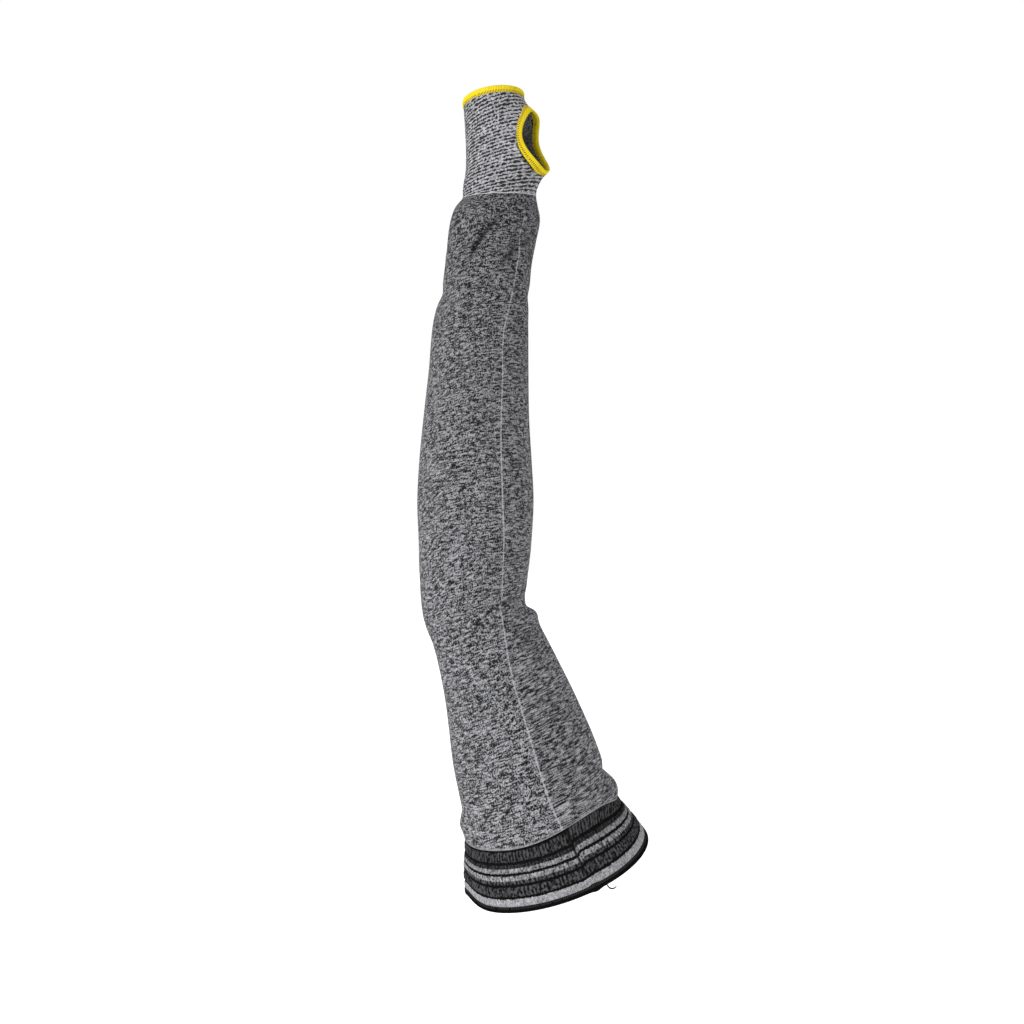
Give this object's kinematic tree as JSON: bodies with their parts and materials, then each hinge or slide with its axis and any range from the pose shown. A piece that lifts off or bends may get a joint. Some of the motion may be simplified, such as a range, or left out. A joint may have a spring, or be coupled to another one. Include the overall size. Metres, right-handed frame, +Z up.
{
  "type": "cut resistant sleeve",
  "caption": "Long knitted protective sleeve with a ribbed hand cuff, a bound thumb opening and a striped elastic upper arm band, in the form it takes on a slightly bent left arm.",
  "frame": {"origin": "centre of the arm opening, at the free edge of the elastic band", "axes": "+Z up along the arm towards the hand, +X to the palm side, -Y to the thumb side"},
  "size_m": [0.1641, 0.1345, 0.5793],
  "materials": {
    "cuff_knit": "light grey ribbed knit with broken black courses",
    "yellow_overlock": "yellow overlock thread",
    "heather_knit": "grey and black melange knit",
    "striped_elastic": "black, charcoal and light grey striped elastic knit",
    "black_overlock": "black overlock thread"
  },
  "bodies": {
    "root": {"hand_cuff": "cuff_knit", "hand_hem": "yellow_overlock", "thumb_hem": "yellow_overlock", "sleeve_body": "heather_knit", "arm_band": "striped_elastic", "band_hem": "black_overlock"}
  },
  "joints": []
}
